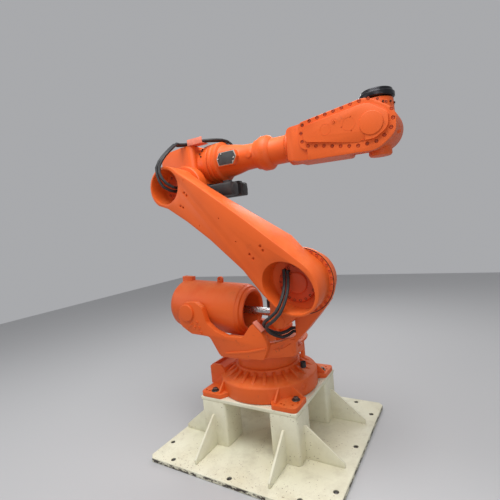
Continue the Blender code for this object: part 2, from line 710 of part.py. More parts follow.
def build_elbow():
    """Housing that turns on axis 3 and carries the forearm above it."""
    lift = elbow_rise
    face = -arm_far - turn_gap
    hub = turned("elbow_housing", [
        (0.0, -arm_far - seat_gap), (0.098, -arm_far - seat_gap), (0.098, face),
        (0.146, face), (0.152, face - 0.006), (0.152, 0.142), (0.124, 0.134),
        (0.124, -0.128), (0.0, -0.128)], orange, axis3, (0, 0, 0), side, 44)
    block = side_prism("elbow_block", rounded([
        (-0.120, -0.112, 0.05), (0.128, -0.112, 0.02), (0.128, 0.030, 0.02),
        (0.060, 0.060, 0.02), (0.060, lift + 0.135, 0.01), (-0.040, lift + 0.135, 0.02),
        (-0.180, lift + 0.120, 0.05), (-0.245, lift + 0.060, 0.05), (-0.240, 0.060, 0.05)], 4),
        -0.148, 0.138, None, axis3)
    throat = turned("elbow_throat", [
        (0.0, housing_front + 0.001 - seat_gap), (0.096, housing_front + 0.001 - seat_gap),
        (0.096, housing_front - 0.004), (0.136, housing_front - 0.004),
        (0.141, housing_front - 0.009), (0.141, 0.126), (0.134, 0.120), (0.130, 0.090),
        (0.130, 0.020), (0.0, 0.020)], None, axis3, (0, 0, lift), ahead_turn, 40)
    weld(hub, block, throat)
    for y, name in ((-0.072, "axis3_motor"), (0.058, "axis4_motor")):
        motor(name, axis3, (0.128 + gap, y, -0.040), ahead_turn, 0.108, 0.215, -1)
    turned("elbow_rear_cover", [
        (0.0, 0.026), (0.080, 0.026), (0.088, 0.018), (0.088, 0.0), (0.0, 0.0)],
        black, axis3, (-0.2447 - gap, -0.005, lift - 0.048), (0, math.radians(-90), 0), 32)
    bracket = box("harness_bracket", (0.020, -0.150, lift + 0.1353),
                  (0.150, -0.078, lift + 0.1405), salmon, axis3)
    upright = box("bracket_upright", (0.0202, -0.1502, lift + 0.136),
                  (0.1502, -0.144, lift + 0.178), None, axis3)
    weld(bracket, upright)


def build_forearm():
    """Tube, collar, extender and the wrist's two cheeks, all about axis 4."""
    start = housing_front + 0.001
    tube = turned("forearm_tube", [
        (0.0, tube_end), (0.085, tube_end), (0.085, 0.470), (0.088, 0.410),
        (0.102, 0.345), (0.114, 0.275), (0.120, 0.243), (0.136, 0.237), (0.142, 0.231),
        (0.142, 0.206), (0.137, 0.201), (0.137, 0.193), (0.142, 0.188), (0.142, 0.171),
        (0.137, start), (0.0, start)], orange, axis4, (0, 0, 0), ahead_turn, 48)
    saddle = side_prism("hatch_saddle", rounded([
        (0.250, -0.052, 0.015), (0.380, -0.052, 0.015), (0.408, 0.0, 0.015),
        (0.392, 0.050, 0.015), (0.262, 0.050, 0.015), (0.238, 0.004, 0.015)], 2),
        -0.1215, -0.04, None, axis4)
    boss = disc("tube_boss", 0.022, 0.05, 0.091, None, axis4, (0.480, 0, 0.0), side, 20)
    weld(tube, saddle, boss)
    side_prism("hatch_cover", rounded([
        (0.262, -0.042, 0.008), (0.370, -0.042, 0.008), (0.397, 0.002, 0.008),
        (0.384, 0.040, 0.008), (0.272, 0.040, 0.008), (0.250, 0.004, 0.008)], 2),
        -0.1270, -0.1215 - gap, hatch, axis4)
    turned("forearm_collar", [
        (0.0, collar_end), (0.094, collar_end), (0.098, collar_end - 0.006),
        (0.110, collar_end - 0.018), (0.115, collar_end - 0.028), (0.115, tube_end + 0.046),
        (0.110, tube_end + 0.034), (0.101, tube_end + 0.020), (0.099, tube_end + gap),
        (0.0, tube_end + gap)], orange, axis4, (0, 0, 0), ahead_turn, 44)
    turned("forearm_extender", [
        (0.0, extender_end), (0.110, extender_end), (0.112, extender_end - 0.004),
        (0.112, extender_end - 0.014), (0.096, extender_end - 0.028),
        (0.088, extender_end - 0.036), (0.088, collar_end + 0.012),
        (0.092, collar_end + gap), (0.0, collar_end + gap)],
        orange, axis4, (0, 0, 0), ahead_turn, 44)
    build_wrist()


def build_wrist():
    """Wrist casting open at the front, with its two covers and the bare disc."""
    reach = wrist_reach
    wrist = turned("wrist_housing", [
        (0.0, wrist_back + 0.03), (0.106, wrist_back + 0.03), (0.114, wrist_back + 0.01),
        (0.114, extender_end + 0.006), (0.110, extender_end + gap),
        (0.0, extender_end + gap)], orange, axis4, (0, 0, 0), ahead_turn, 44)
    block = side_prism("wrist_block", rounded([
        (wrist_back - 0.02, -0.112, 0.02), (reach - 0.168, -0.122, 0.02),
        (reach - 0.168, 0.104, 0.02), (wrist_back - 0.02, 0.086, 0.03)], 3),
        -0.1695, 0.104, None, axis4)
    near = side_prism("wrist_cheek_near", rounded([
        (wrist_back + 0.012, -0.120, 0.03), (reach + 0.02, -0.138, 0.12),
        (reach + 0.116, -0.066, 0.08), (reach + 0.122, 0.046, 0.09),
        (reach - 0.02, 0.142, 0.12), (wrist_back + 0.012, 0.084, 0.03)], 4),
        -cheek_face, -cheek_inner, None, axis4)
    far = side_prism("wrist_cheek_far", rounded([
        (reach - 0.30, -0.098, 0.03), (reach + 0.02, -0.104, 0.09),
        (reach + 0.096, -0.050, 0.06), (reach + 0.098, 0.040, 0.06),
        (reach - 0.01, 0.104, 0.09), (reach - 0.30, 0.086, 0.03)], 4),
        cheek_far[0], cheek_far[1], None, axis4)
    weld(wrist, block, near, far)
    cover = side_prism("wrist_cover_near", rounded([
        (wrist_back + 0.004, -0.126, 0.05), (reach + 0.02, -0.142, 0.12),
        (reach + 0.119, -0.068, 0.08), (reach + 0.125, 0.048, 0.09),
        (reach - 0.02, 0.146, 0.12), (wrist_back + 0.004, 0.086, 0.05)], 5),
        -cheek_face - 0.014, -cheek_face - gap, orange, axis4)
    face = side_prism("wrist_raised_face", rounded([
        (wrist_back + 0.030, -0.082, 0.05), (reach + 0.01, -0.100, 0.09),
        (reach + 0.088, -0.050, 0.06), (reach + 0.094, 0.034, 0.06),
        (reach - 0.02, 0.112, 0.09), (wrist_back + 0.030, 0.056, 0.05)], 5),
        -wrist_disc_face + gap, -cheek_face - 0.006, None, axis4)
    weld(cover, face)
    side_prism("wrist_cover_far", rounded([
        (reach - 0.28, -0.086, 0.03), (reach + 0.02, -0.094, 0.09),
        (reach + 0.086, -0.044, 0.06), (reach + 0.088, 0.034, 0.06),
        (reach - 0.01, 0.094, 0.09), (reach - 0.28, 0.076, 0.03)], 4),
        cheek_far[1] + gap, cheek_far[1] + 0.010, orange, axis4, 0.004)
    disc("wrist_disc", 0.062, wrist_disc_face, wrist_disc_face + 0.005, hatch, axis4,
         (reach, 0, 0), side, 36, 0.0015)


def build_wrist_tilt():
    """Tilting head between the cheeks, with the tool flange on top."""
    near = cheek_inner
    far = -cheek_far[0]
    neck_top = flange_reach - 0.055
    core = turned("wrist_tilt_housing", [
        (0.0, near - seat_gap), (0.060, near - seat_gap), (0.060, near - turn_gap),
        (0.110, near - turn_gap), (0.120, near - turn_gap - 0.010),
        (0.120, far + turn_gap + 0.010), (0.110, far + turn_gap), (0.060, far + turn_gap),
        (0.060, far + seat_gap), (0.0, far + seat_gap)], orange, axis5, (0, 0, 0), side, 40)
    neck = turned("tilt_neck", [
        (0.0, neck_top + 0.0045), (0.050, neck_top + 0.0045), (0.050, neck_top),
        (0.084, neck_top), (0.089, neck_top - 0.005), (0.092, 0.05), (0.0, 0.05)],
        None, axis5, steps=40)
    boss = turned("tilt_rear_boss", [
        (0.0, -0.05), (0.064, -0.05), (0.064, -0.142), (0.057, -0.151), (0.0, -0.151)],
        None, axis5, steps=28)
    weld(core, neck, boss)
    turned("tool_flange", [
        (0.0, flange_reach), (0.050, flange_reach), (0.052, flange_reach - 0.003),
        (0.084, flange_reach - 0.003), (0.087, flange_reach - 0.006),
        (0.087, flange_reach - 0.020), (0.095, flange_reach - 0.022),
        (0.098, flange_reach - 0.025), (0.098, neck_top + 0.010), (0.093, neck_top + 0.005),
        (0.0, neck_top + 0.005)],
        steel, axis6, steps=48)


def build_harness():
    """The cables that the machine itself holds, in lengths that part at axis 3."""
    flange = arm_near + hole_depth - 0.018 - 2 * gap
    lower = {
        "lower_harness_a": [
            (0.340, flange, 1.220), (0.340, flange - 0.020, 1.220), (0.352, -0.330, 1.150),
            (0.358, -0.380, 1.084), (0.340, -0.430, 1.012), (0.292, -0.434, 0.968),
            (0.236, -0.402, 0.932), (0.196, -0.345, 0.886), (0.206, -0.285, 0.838),
            (0.262, -0.245, 0.816), (0.310, -0.185, 0.836), (0.3357, -0.185, 0.836)],
        "lower_harness_b": [
            (0.364, flange, 1.212), (0.364, flange - 0.020, 1.212), (0.376, -0.332, 1.140),
            (0.380, -0.384, 1.072), (0.358, -0.432, 0.996), (0.308, -0.437, 0.946),
            (0.252, -0.410, 0.910), (0.220, -0.352, 0.862), (0.232, -0.295, 0.818),
            (0.276, -0.250, 0.794), (0.312, -0.184, 0.8135), (0.3357, -0.184, 0.8135)]}
    for name, points in lower.items():
        cable(name, points, 0.010)
    top = forearm_z + 0.154
    cap = arm_near + hole_depth - 0.024 - 2 * gap
    parting = arm_far + turn_gap + 0.0005
    arm = {
        "arm_harness_a": [
            (-0.400, cap, 1.788), (-0.400, cap - 0.020, 1.788), (-0.392, -0.370, 1.782),
            (-0.418, -0.428, 1.812), (-0.448, -0.438, 1.876), (-0.457, -0.432, 1.944),
            (-0.440, -0.396, 2.006), (-0.444, -0.320, 2.066),
            (-0.460, parting - 0.018, 2.120), (-0.460, parting - gap, 2.120)],
        "arm_harness_b": [
            (-0.3995, cap, 1.8125), (-0.3995, cap - 0.020, 1.8125), (-0.370, -0.370, 1.802),
            (-0.396, -0.428, 1.836), (-0.424, -0.440, 1.890), (-0.432, -0.434, 1.946),
            (-0.414, -0.392, 2.014), (-0.416, -0.310, 2.078),
            (-0.434, parting - 0.018, 2.123), (-0.434, parting - gap, 2.123)]}
    for name, points in arm.items():
        cable(name, points, 0.010)
    upper = {
        "upper_harness_a": [
            (-0.460, parting, 2.120), (-0.460, parting + 0.018, 2.120),
            (-0.446, -0.108, top), (-0.350, -0.102, top), (-0.306, -0.100, top),
            (-0.262, -0.060, top + 0.002), (-0.222, 0.020, top + 0.004),
            (-0.222, 0.104, 2.112), (-0.262, 0.168, 2.070), (-0.330, 0.190, 2.052),
            (-0.400, 0.176, 2.044), (-0.410, 0.156, 2.044), (-0.410, 0.1386, 2.044)],
        "upper_harness_b": [
            (-0.434, parting, 2.123), (-0.434, parting + 0.018, 2.123),
            (-0.424, -0.1285, top), (-0.370, -0.1265, top), (-0.300, -0.125, top),
            (-0.240, -0.080, top + 0.002), (-0.194, 0.026, top + 0.004),
            (-0.192, 0.112, 2.106), (-0.240, 0.170, 2.050), (-0.320, 0.188, 2.026),
            (-0.400, 0.176, 2.016), (-0.410, 0.156, 2.016), (-0.410, 0.1386, 2.016)]}
    for name, points in upper.items():
        cable(name, points, 0.010)


build_pedestal()
build_top_frame()
build_foot()
build_turntable()
build_turntable_parts()
build_balancer()
build_lower_arm()
build_elbow()
build_forearm()
build_wrist_tilt()
build_harness()
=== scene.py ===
import json
import math
import random

import bmesh
import bpy
from mathutils import Matrix, Vector


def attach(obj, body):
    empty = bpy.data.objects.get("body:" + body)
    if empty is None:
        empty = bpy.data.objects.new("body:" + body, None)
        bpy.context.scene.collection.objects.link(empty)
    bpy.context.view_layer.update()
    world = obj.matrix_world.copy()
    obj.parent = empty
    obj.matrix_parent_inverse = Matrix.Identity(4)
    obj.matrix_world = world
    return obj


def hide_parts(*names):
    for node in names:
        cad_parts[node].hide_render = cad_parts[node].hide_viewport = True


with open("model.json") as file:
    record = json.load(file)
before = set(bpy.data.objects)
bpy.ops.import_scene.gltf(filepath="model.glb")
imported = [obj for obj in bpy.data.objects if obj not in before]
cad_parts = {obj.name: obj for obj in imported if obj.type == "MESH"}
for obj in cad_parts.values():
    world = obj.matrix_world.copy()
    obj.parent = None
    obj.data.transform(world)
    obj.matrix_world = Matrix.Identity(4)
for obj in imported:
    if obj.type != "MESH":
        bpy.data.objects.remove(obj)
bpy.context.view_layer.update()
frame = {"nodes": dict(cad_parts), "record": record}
nodes = frame["nodes"]
print("frame loaded, %d nodes" % len(nodes))


# shader wiring
class Wire:
    def __init__(self, tree, socket):
        self.tree = tree
        self.socket = socket

    def calc(self, operation, *values, clamp=False):
        first = [self] + list(values)
        return node(self.tree, "ShaderNodeMath", {"operation": operation, "use_clamp": clamp},
                    dict(enumerate(first)))

    def __add__(self, other):
        return self.calc("ADD", other)

    def __sub__(self, other):
        return self.calc("SUBTRACT", other)

    def __rsub__(self, other):
        return node(self.tree, "ShaderNodeMath", {"operation": "SUBTRACT"}, {0: other, 1: self})

    def __mul__(self, other):
        return self.calc("MULTIPLY", other)

    __radd__ = __add__
    __rmul__ = __mul__

    def step(self, low, high):
        # 0 below low, 1 above high, straight between
        return (self - low).calc("MULTIPLY", 1 / (high - low), clamp=True)


def node(tree, kind, settings, values, output=0):
    made = tree.nodes.new(kind)
    for key, value in settings.items():
        setattr(made, key, value)
    for key, value in values.items():
        socket = made.inputs[key]
        if isinstance(value, Wire):
            tree.links.new(value.socket, socket)
        else:
            socket.default_value = value
    return Wire(tree, made.outputs[output])


def mixColor(tree, factor, first, second):
    def fill(color):
        return color if isinstance(color, Wire) else (*color, 1.0)
    return node(tree, "ShaderNodeMix", {"data_type": "RGBA"},
                {0: factor, 6: fill(first), 7: fill(second)}, 2)


class Paint:
    # one material: its tree, its shader and the patterns most of them share
    def __init__(self, name):
        self.material = bpy.data.materials.new(name)
        self.material.use_nodes = True
        self.tree = self.material.node_tree
        self.shader = self.tree.nodes["Principled BSDF"]
        self.place = node(self.tree, "ShaderNodeTexCoord", {}, {}, "Object")
        self.facing = node(self.tree, "ShaderNodeTexCoord", {}, {}, "Normal")

    def noise(self, scale, detail=2.0, rough=0.5, stretch=None):
        place = self.place
        if stretch:
            place = node(self.tree, "ShaderNodeVectorMath", {"operation": "MULTIPLY"},
                         {0: place, 1: stretch})
        return node(self.tree, "ShaderNodeTexNoise", {},
                    {"Vector": place, "Scale": scale, "Detail": detail, "Roughness": rough})

    def cells(self, scale):
        return node(self.tree, "ShaderNodeTexVoronoi", {}, {"Vector": self.place, "Scale": scale})

    def axis(self, name, vector=None):
        return node(self.tree, "ShaderNodeSeparateXYZ", {}, {0: vector or self.place}, name)

    def mix(self, factor, first, second):
        return mixColor(self.tree, factor, first, second)

    def put(self, name, value):
        socket = self.shader.inputs[name]
        if isinstance(value, Wire):
            self.tree.links.new(value.socket, socket)
        else:
            socket.default_value = value

    def bump(self, height, strength, distance):
        bumped = node(self.tree, "ShaderNodeBump", {},
                      {"Height": height, "Strength": strength, "Distance": distance})
        self.put("Normal", bumped)


# the dust colour is a lighter orange for upward faces: partly dust, partly painted top light
orangeLook = {"bright": (0.72, 0.110, 0.013), "deep": (0.57, 0.070, 0.008),
              "dustAndTopLight": (0.80, 0.26, 0.080), "grease": (0.085, 0.020, 0.010),
              "roughness": 0.40, "grain": 260.0}


def orangePaint(name, look, greasy=0.0, worn=0.0):
    paint = Paint(name)
    broad = paint.noise(2.6, 3.0)
    cloud = paint.noise(11.0, 5.0, 0.62)
    fine = paint.noise(70.0, 3.0, 0.6)
    color = paint.mix(broad.step(0.38, 0.66), look["bright"], look["deep"])
    color = paint.mix(broad.step(0.30, 0.75) * 0.55, look["bright"], color)
    # upward faces turn a lighter orange in cloudy patches: partly dust, partly painted top light
    up = paint.axis("Z", paint.facing).step(0.35, 0.95)
    dustAndTopLight = up * cloud.step(0.34, 0.70) * 0.42
    color = paint.mix(dustAndTopLight, color, look["dustAndTopLight"])
    stain = cloud.step(0.60, 0.72) * fine.step(0.42, 0.60)
    color = paint.mix(stain * (0.22 + greasy * 0.6), color, look["grease"])
    if worn:
        chip = paint.noise(38.0, 6.0, 0.75).step(0.640, 0.655) * cloud.step(0.45, 0.6)
        color = paint.mix(chip * worn, color, (0.10, 0.045, 0.030))
    paint.put("Base Color", color)
    paint.put("Roughness", look["roughness"] + fine * 0.14 + dustAndTopLight * 0.3)
    paint.put("Specular IOR Level", 0.36)
    paint.bump(paint.noise(look["grain"], 2.0) + cloud * 0.6, 0.14, 0.0012)
    return paint.material


creamLook = {"clean": (0.76, 0.74, 0.58), "aged": (0.68, 0.64, 0.47), "dirt": (0.30, 0.24, 0.15),
             "rust": (0.15, 0.055, 0.02), "metal": (0.045, 0.032, 0.024)}


def creamPaint(name, look, dirty, chipped=False):
    paint = Paint(name)
    broad = paint.noise(3.2, 4.0)
    cloud = paint.noise(9.0, 6.0, 0.65)
    fine = paint.noise(95.0, 3.0, 0.6)
    color = paint.mix(broad.step(0.35, 0.7), look["clean"], look["aged"])
    film = cloud.step(0.46, 0.74) * dirty
    color = paint.mix(film * 0.75, color, look["dirt"])
    spot = 1 - paint.cells(46.0).step(0.10, 0.17)
    spot = spot * paint.noise(7.0, 2.0).step(0.46, 0.60)
    color = paint.mix(spot * 0.85, color, look["rust"])
    speckle = paint.noise(60.0, 8.0, 0.8)
    color = paint.mix(speckle.step(0.665, 0.69) * dirty, color, look["rust"])
    if chipped:
        # rust specks gather along the near edge
        rim = 1 - paint.axis("Y").step(-0.60, -0.42)
        color = paint.mix(speckle.step(0.600, 0.625) * rim, color, look["rust"])
        # the plate's upright edges lost most of their paint
        side = 1 - paint.axis("Z", paint.facing).calc("ABSOLUTE").step(0.3, 0.6)
        low = 1 - paint.axis("Z").step(0.020, 0.029)
        bare = side * paint.noise(24.0, 6.0, 0.7, (1, 1, 2.5)).step(0.47, 0.53) * low
        color = paint.mix(bare, color, look["metal"])
    paint.put("Base Color", color)
    paint.put("Roughness", 0.46 + film * 0.3 + fine * 0.12)
    paint.bump(paint.noise(180.0, 2.0) + cloud * 0.5 - spot * 0.5, 0.12, 0.001)
    return paint.material


def plainMetal(name, color, dark, roughness, metallic, scale=60.0, relief=0.10):
    paint = Paint(name)
    cloud = paint.noise(14.0, 4.0, 0.6)
    grain = paint.noise(scale, 3.0)
    paint.put("Base Color", paint.mix(cloud.step(0.42, 0.68), color, dark))
    paint.put("Roughness", roughness + grain * 0.16 - 0.06)
    paint.put("Metallic", metallic)
    paint.bump(grain, relief, 0.0008)
    return paint.material


orange = orangePaint("orangeCasting", orangeLook)
orangeWorn = orangePaint("orangeWornCasting", orangeLook, 0.45, 0.5)
# darker, redder copy of the orange paint for the gear flanges inside the arm's holes and the hub
# screws: painted shade; its grease stains and chips are wear
paintedShadeOrange = orangePaint("paintedShadeOrange", {**orangeLook, "bright": (0.58, 0.070, 0.018),
                                      "deep": (0.38, 0.034, 0.010)}, 0.5, 0.2)
cream = creamPaint("creamPost", creamLook, 0.28)
creamPlate = creamPaint("creamPlate", creamLook, 0.45, True)
black = plainMetal("blackMotor", (0.018, 0.018, 0.020), (0.040, 0.038, 0.036), 0.46, 0.0)
rubber = plainMetal("blackCable", (0.012, 0.012, 0.014), (0.032, 0.031, 0.030), 0.56, 0.0, 240.0)
steel = plainMetal("oilySteel", (0.14, 0.13, 0.12), (0.05, 0.045, 0.04), 0.38, 0.85)
darkBolt = plainMetal("darkBolt", (0.055, 0.035, 0.028), (0.16, 0.05, 0.03), 0.48, 0.5)
rustyScrew = plainMetal("paintedScrew", (0.60, 0.085, 0.022), (0.26, 0.040, 0.014), 0.5, 0.0)
brightScrew = plainMetal("brightScrew", (0.62, 0.60, 0.56), (0.30, 0.27, 0.24), 0.32, 0.9)
chrome = plainMetal("chromeRod", (0.60, 0.60, 0.60), (0.38, 0.37, 0.36), 0.26, 1.0, 60.0,
                    0.01)
greyHatch = plainMetal("greyHatch", (0.030, 0.034, 0.036), (0.055, 0.058, 0.058), 0.50, 0.0)
gasket = plainMetal("paleGasket", (0.42, 0.40, 0.35), (0.24, 0.20, 0.16), 0.6, 0.0)
flangeBlack = plainMetal("blackFlange", (0.022, 0.022, 0.026), (0.10, 0.10, 0.11), 0.30, 0.7)
salmon = plainMetal("salmonPlate", (0.80, 0.24, 0.15), (0.62, 0.18, 0.12), 0.5, 0.0)
# near-black used only for the ring that stands for a groove's shade: painted shade
paintedShadeBlack = plainMetal("paintedShadeBlack", (0.006, 0.006, 0.006), (0.012, 0.010, 0.010), 0.7, 0.0)

bySlot = {"cream_paint": cream, "orange_paint": orange, "black_paint": black,
          "dark_steel": steel, "chrome_rod": chrome, "grey_cover": greyHatch,
          "salmon_plate": salmon, "black_rubber": rubber}
# the gear flanges take the darker orange copy, which is painted shade
byNode = {"pedestal_plate": creamPlate, "wrist_disc": orange, "foot_casting": orangeWorn,
          "turntable_casting": orangeWorn, "tool_flange": flangeBlack,
          "axis2_gear_flange": paintedShadeOrange, "axis3_gear_flange": paintedShadeOrange,
          "balancer_rod_eye": orangeWorn}
for part in frame["record"]["subparts"]:
    chosen = byNode.get(part["node"], bySlot[part["material_slot"]])
    target = nodes[part["node"]]
    target.data.materials.clear()
    target.data.materials.append(chosen)
print("materials ready")


# modelling helpers
def clearChoice():
    if bpy.context.mode != "OBJECT":
        bpy.ops.object.mode_set(mode="OBJECT")
    bpy.ops.object.select_all(action="DESELECT")


def choose(piece):
    clearChoice()
    piece.select_set(True)
    bpy.context.view_layer.objects.active = piece


def useModifiers(piece):
    choose(piece)
    for change in list(piece.modifiers):
        bpy.ops.object.modifier_apply(modifier=change.name)


def settle(piece):
    # the place goes into the mesh, so the object sits at the origin
    choose(piece)
    bpy.ops.object.transform_apply(location=True, rotation=True, scale=True)


def smooth(piece, angle=35):
    choose(piece)
    bpy.ops.object.shade_smooth_by_angle(angle=math.radians(angle))


def dress(piece, name, material, body):
    piece.name = name
    piece.data.name = name
    piece.data.materials.clear()
    piece.data.materials.append(material)
    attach(piece, body)
    return piece


bodyOf = {}
for bodyName, members in frame["record"]["behaviour"]["bodies"].items():
    for member in members:
        bodyOf[member] = bodyName


def castCopy(nodeName):
    # a merged copy of a CAD node, with its flat faces made whole again
    source = nodes[nodeName]
    mesh = source.data.copy()
    piece = bpy.data.objects.new(nodeName + "_shell", mesh)
    bpy.context.scene.collection.objects.link(piece)
    choose(piece)
    bpy.ops.object.mode_set(mode="EDIT")
    bpy.ops.mesh.select_all(action="SELECT")
    bpy.ops.mesh.remove_doubles(threshold=0.00004)
    bpy.ops.mesh.customdata_custom_splitnormals_clear()
    bpy.ops.mesh.dissolve_limited(angle_limit=math.radians(0.6))
    bpy.ops.object.mode_set(mode="OBJECT")
    return piece


def soften(piece, width, steps=2, angle=28):
    bevel = piece.modifiers.new("soften", "BEVEL")
    bevel.width = width
    bevel.segments = steps
    bevel.limit_method = "ANGLE"
    bevel.angle_limit = math.radians(angle)
    bevel.harden_normals = False
    useModifiers(piece)


def finishShell(piece, nodeName, name):
    source = nodes[nodeName]
    dress(piece, name, source.data.materials[0], bodyOf[nodeName])
    smooth(piece)
    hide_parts(nodeName)
    return piece


def turnTo(normal):
    return Vector((0, 0, 1)).rotation_difference(Vector(normal).normalized()).to_matrix().to_4x4()


def joinAll(copies):
    clearChoice()
    for item in copies:
        item.select_set(True)
    bpy.context.view_layer.objects.active = copies[0]
    if len(copies) > 1:
        bpy.ops.object.join()
    return bpy.context.view_layer.objects.active


def scatter(template, spots, normal, spin=0.0):
    # copies of a finished template at the spots, joined to one piece
    rng = random.Random(7)
    copies = []
    for index, spot in enumerate(spots):
        facing = normal[index] if isinstance(normal, list) else normal
        angle = rng.uniform(0, spin) if spin else 0.0
        copy = bpy.data.objects.new("copy", template.data.copy())
        bpy.context.scene.collection.objects.link(copy)
        copy.data.transform(Matrix.Translation(Vector(spot)) @ turnTo(facing)
                            @ Matrix.Rotation(angle, 4, "Z"))
        copies.append(copy)
    return joinAll(copies)


def dropTemplate(template):
    bpy.data.objects.remove(template, do_unlink=True)


def strew(template, spots, normal, name, material, body, spin=0.0):
    # copies of the template as one finished piece; the template itself goes
    piece = dress(scatter(template, spots, normal, spin), name, material, body)
    dropTemplate(template)
    return piece


def chooseFaces(piece, test):
    # leaves the piece in edit mode with the wanted faces selected
    choose(piece)
    bpy.ops.object.mode_set(mode="EDIT")
    bpy.ops.mesh.select_mode(type="FACE")
    bpy.ops.mesh.select_all(action="DESELECT")
    shape = bmesh.from_edit_mesh(piece.data)
    for face in shape.faces:
        face.select_set(test(face))
    bmesh.update_edit_mesh(piece.data)


def capScrew(radius, height, socket, depth, sides=18):
    # round head with an inset drive hole, standing on z = 0
    clearChoice()
    bpy.ops.mesh.primitive_cylinder_add(vertices=sides, radius=radius, depth=height,
                                        location=(0, 0, height / 2))
    piece = bpy.context.object
    settle(piece)
    chooseFaces(piece, lambda face: face.normal.z > 0.9)
    bpy.ops.mesh.bevel(offset=radius * 0.14, segments=1, affect="EDGES")
    bpy.ops.object.mode_set(mode="OBJECT")
    chooseFaces(piece, lambda face: face.normal.z > 0.9 and len(face.verts) > 6)
    bpy.ops.mesh.inset(thickness=max(0.0004, radius * 0.86 - socket), depth=0)
    bpy.ops.transform.translate(value=(0, 0, -depth))
    bpy.ops.object.mode_set(mode="OBJECT")
    smooth(piece, 40)
    return piece


def hexBolt(radius, height, washer, thick):
    clearChoice()
    bpy.ops.mesh.primitive_cylinder_add(vertices=6, radius=radius, depth=height,
                                        location=(0, 0, thick + height / 2))
    head = bpy.context.object
    settle(head)
    chooseFaces(head, lambda face: face.normal.z > 0.9)
    bpy.ops.mesh.bevel(offset=radius * 0.12, segments=1, affect="EDGES")
    bpy.ops.object.mode_set(mode="OBJECT")
    clearChoice()
    bpy.ops.mesh.primitive_cylinder_add(vertices=24, radius=washer, depth=thick,
                                        location=(0, 0, thick / 2))
    ring = bpy.context.object
    settle(ring)
    chooseFaces(ring, lambda face: face.normal.z > 0.9)
    bpy.ops.mesh.bevel(offset=thick * 0.25, segments=1, affect="EDGES")
    bpy.ops.object.mode_set(mode="OBJECT")
    return joinAll([head, ring])


def slab(outline, depth):
    # closed body swept from a flat outline along the depth vector
    clearChoice()
    bpy.ops.mesh.primitive_circle_add(vertices=len(outline), radius=1, fill_type="NGON")
    piece = bpy.context.object
    for vertex, spot in zip(piece.data.vertices, outline):
        vertex.co = spot
    choose(piece)
    bpy.ops.object.mode_set(mode="EDIT")
    bpy.ops.mesh.select_all(action="SELECT")
    bpy.ops.mesh.extrude_region_move(TRANSFORM_OT_translate={"value": tuple(depth)})
    bpy.ops.mesh.select_all(action="SELECT")
    bpy.ops.mesh.normals_make_consistent(inside=False)
    bpy.ops.object.mode_set(mode="OBJECT")
    return piece


def cutAway(piece, cutter):
    cut = piece.modifiers.new("cut", "BOOLEAN")
    cut.operation = "DIFFERENCE"
    cut.solver = "EXACT"
    cut.object = cutter
    useModifiers(piece)
    bpy.data.objects.remove(cutter, do_unlink=True)


def drill(piece, spots, normal, radius, depth, sides=20):
    # sinks round holes into a shell; depth is measured from each spot
    clearChoice()
    bpy.ops.mesh.primitive_cylinder_add(vertices=sides, radius=radius, depth=depth * 2)
    tool = bpy.context.object
    settle(tool)
    cutter = scatter(tool, spots, normal)
    dropTemplate(tool)
    cutAway(piece, cutter)
    return piece


def rounded(corners, arc=6):
    # closed outline from (x, y, radius) corners
    result = []
    for index, corner in enumerate(corners):
        here = Vector(corner[:2])
        back = Vector(corners[index - 1][:2]) - here
        ahead = Vector(corners[(index + 1) % len(corners)][:2]) - here
        room = 0.49 * min(back.length, ahead.length)
        back.normalize()
        ahead.normalize()
        half = back.angle(ahead) / 2
        along = min(corner[2] / math.tan(half), room)
        radius = along * math.tan(half)
        centre = here + (back + ahead).normalized() * (radius / math.sin(half))
        first = here + back * along - centre
        sweep = first.angle_signed(here + ahead * along - centre)
        for k in range(arc + 1):
            angle = -sweep * k / arc
            result.append(centre + Vector((
                first.x * math.cos(angle) - first.y * math.sin(angle),
                first.x * math.sin(angle) + first.y * math.cos(angle))))
    return result


def evenSpots(outline, count, start=0.0):
    # points at equal steps round a closed outline
    sides = [(outline[i], outline[(i + 1) % len(outline)]) for i in range(len(outline))]
    total = sum((b - a).length for a, b in sides)
    spots = []
    for k in range(count):
        target = total * (k + start) / count
        for a, b in sides:
            length = (b - a).length
            if target <= length:
                spots.append(a.lerp(b, target / length))
                break
            target -= length
    return spots


def ringSpots(centre, radius, count, start, across, up):
    spots = []
    for k in range(count):
        angle = math.radians(start + 360 * k / count)
        spots.append(Vector(centre) + Vector(across) * (radius * math.cos(angle))
                     + Vector(up) * (radius * math.sin(angle)))
    return spots


# the lower arm's own frame
leanAngle = math.radians(-51.2)
axis2 = Vector((0.410, 0.0, 1.140))
armTurn = Matrix.Rotation(leanAngle, 3, "Y")
armAcross = armTurn @ Vector((1, 0, 0))
armAlong = armTurn @ Vector((0, 0, 1))
armLength = 1.075
axis3 = axis2 + armAlong * armLength
forearmZ = axis3.z + 0.165
wristX = axis3.x + 1.306
near = (0, -1, 0)


def onArm(x, y, z):
    return axis2 + armAcross * x + armAlong * z + Vector((0, y, 0))


